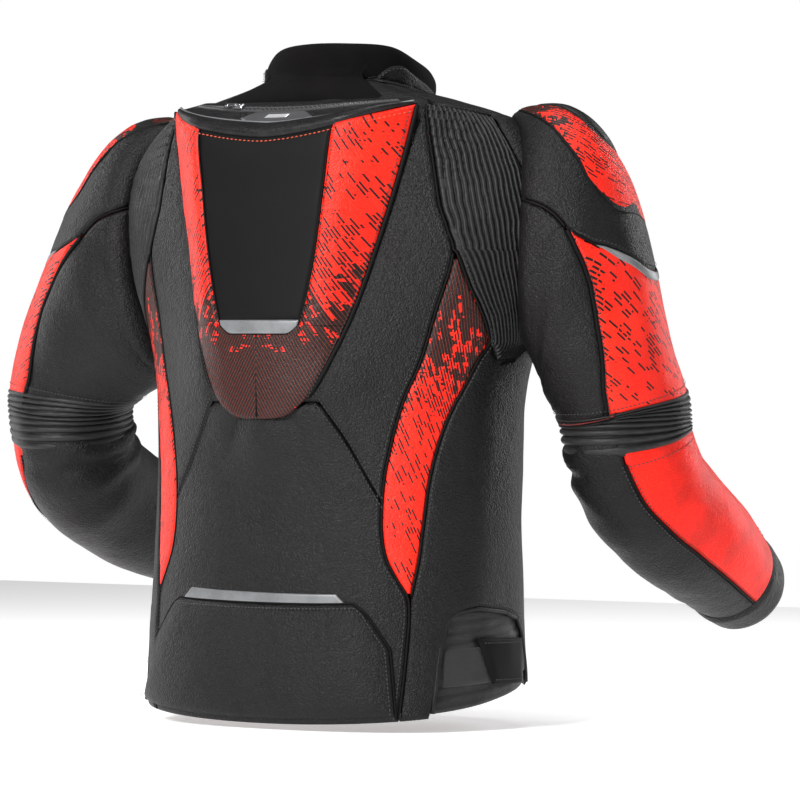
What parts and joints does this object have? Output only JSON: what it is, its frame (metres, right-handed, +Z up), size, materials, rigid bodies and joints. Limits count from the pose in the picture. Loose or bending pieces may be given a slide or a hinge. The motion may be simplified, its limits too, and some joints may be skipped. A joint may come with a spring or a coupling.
{
  "type": "leather riding jacket",
  "caption": "Motorcycle riding jacket in worn shape with aero hump, ribbed stretch panels, pre-bent sleeves, elbow bands, front zip and side waist straps.",
  "frame": {"origin": "centre of the neck seam, on the body centre line", "axes": "+Z up along the body, -Y out of the front, -X towards the wearer's right"},
  "size_m": [0.8142, 0.4376, 0.6717],
  "materials": {
    "black_leather": "satin, fine grain",
    "red_leather": "satin, fine grain with dark slanted dashes",
    "dark_brown_leather": "satin, with fine diagonal lines",
    "smooth_black": "smooth matt",
    "ribbed_stretch": "ribbed stretch panel, matt",
    "neoprene": "matt",
    "foam": "closed-cell foam",
    "reflective": "grey retroreflective film",
    "badge_plastic": "moulded",
    "zip_tape": "woven tape with moulded teeth",
    "lining_mesh": "warp-knit mesh",
    "webbing": "woven, matt",
    "zip_metal": "satin nickel",
    "hard_plastic": "moulded TPU, satin"
  },
  "bodies": {
    "torso": {"lower_back_panel": "black_leather", "upper_back_panels": "black_leather", "back_stripes": "red_leather", "stretch_panels": "ribbed_stretch", "side_panel_right": "black_leather", "side_panel_left": "black_leather", "waist_gussets": "ribbed_stretch", "front_panel_right": "black_leather", "front_panel_left": "black_leather", "shoulder_yokes": "black_leather", "collar_stand": "black_leather", "collar_liner": "neoprene", "hump_core": "foam", "hump_center_panel": "smooth_black", "hump_side_panels": "red_leather", "hump_reflector": "reflective", "hump_lower_panel": "dark_brown_leather", "hump_top_cap": "black_leather", "hump_badge": "badge_plastic", "hump_zip": "zip_tape", "lumbar_panel": "black_leather", "lumbar_reflector": "reflective", "front_zip": "zip_tape", "storm_flap": "black_leather", "torso_lining": "lining_mesh", "back_protector": "foam", "hanger_loop": "webbing", "connection_zip": "zip_tape", "armhole_gusset_right": "ribbed_stretch", "armhole_gusset_left": "ribbed_stretch"},
    "front_zip_slider": {"front_zip_slider": "zip_metal"},
    "front_zip_pull": {"front_zip_pull": "zip_metal"},
    "hump_zip_slider": {"hump_zip_slider": "zip_metal"},
    "waist_strap_right": {"waist_strap_right": "webbing"},
    "waist_strap_left": {"waist_strap_left": "webbing"},
    "upper_sleeve_right": {"sleeve_cap_right": "black_leather", "shoulder_patch_right": "red_leather", "shoulder_cup_right": "hard_plastic", "sleeve_outer_right": "red_leather", "sleeve_inner_right": "black_leather", "sleeve_reflector_right": "reflective", "elbow_band_right": "ribbed_stretch"},
    "forearm_right": {"forearm_outer_right": "red_leather", "forearm_inner_right": "black_leather", "cuff_right": "black_leather", "elbow_armor_right": "foam"},
    "cuff_slider_right": {"cuff_slider_right": "zip_metal"},
    "upper_sleeve_left": {"sleeve_cap_left": "black_leather", "shoulder_patch_left": "red_leather", "shoulder_cup_left": "hard_plastic", "sleeve_outer_left": "red_leather", "sleeve_inner_left": "black_leather", "sleeve_reflector_left": "reflective", "elbow_band_left": "ribbed_stretch"},
    "forearm_left": {"forearm_outer_left": "red_leather", "forearm_inner_left": "black_leather", "cuff_left": "black_leather", "elbow_armor_left": "foam"},
    "cuff_slider_left": {"cuff_slider_left": "zip_metal"}
  },
  "joints": [
    {"name": "shoulder_swing_right", "type": "hinge", "parent": "torso", "child": "upper_sleeve_right", "pos_m": [-0.205, -0.016, -0.135], "axis": [-1, 0, 0], "range_deg": [-12, 25], "deforming": ["armhole_gusset_right"]},
    {"name": "elbow_flex_right", "type": "hinge", "parent": "upper_sleeve_right", "child": "forearm_right", "pos_m": [-0.3033, -0.0564, -0.3302], "axis": [-0.9724, -0.0867, 0.2165], "range_deg": [-8, 18], "deforming": ["elbow_band_right"]},
    {"name": "cuff_zip_right", "type": "slide", "parent": "forearm_right", "child": "cuff_slider_right", "axis": [0.0856, 0.8978, 0.4321], "range_m": [0, 0.07]},
    {"name": "waist_strap_peel_right", "type": "hinge", "parent": "torso", "child": "waist_strap_right", "pos_m": [-0.2001, -0.0312, -0.5612], "axis": [0.0553, -0.0068, 0.9984], "range_deg": [0, 80]},
    {"name": "shoulder_swing_left", "type": "hinge", "parent": "torso", "child": "upper_sleeve_left", "pos_m": [0.205, -0.016, -0.135], "axis": [-1, 0, 0], "range_deg": [-12, 25], "deforming": ["armhole_gusset_left"]},
    {"name": "elbow_flex_left", "type": "hinge", "parent": "upper_sleeve_left", "child": "forearm_left", "pos_m": [0.3689, -0.0414, -0.327], "axis": [-0.7576, 0.4155, -0.5034], "range_deg": [-8, 18], "deforming": ["elbow_band_left"]},
    {"name": "cuff_zip_left", "type": "slide", "parent": "forearm_left", "child": "cuff_slider_left", "axis": [0.0901, 0.9373, 0.3366], "range_m": [0, 0.07]},
    {"name": "waist_strap_peel_left", "type": "hinge", "parent": "torso", "child": "waist_strap_left", "pos_m": [0.2001, -0.0312, -0.5612], "axis": [0.0553, 0.0068, -0.9984], "range_deg": [0, 80]},
    {"name": "front_zip_travel", "type": "slide", "parent": "torso", "child": "front_zip_slider", "axis": [0, -0.0242, -0.9997], "range_m": [0, 0.49]},
    {"name": "front_zip_pull_swing", "type": "hinge", "parent": "front_zip_slider", "child": "front_zip_pull", "pos_m": [0, -0.1135, -0.046], "axis": [-1, 0, 0], "range_deg": [0, 95]},
    {"name": "hump_zip_travel", "type": "slide", "parent": "torso", "child": "hump_zip_slider", "axis": [-1, 0, 0], "range_m": [0, 0.09]}
  ]
}
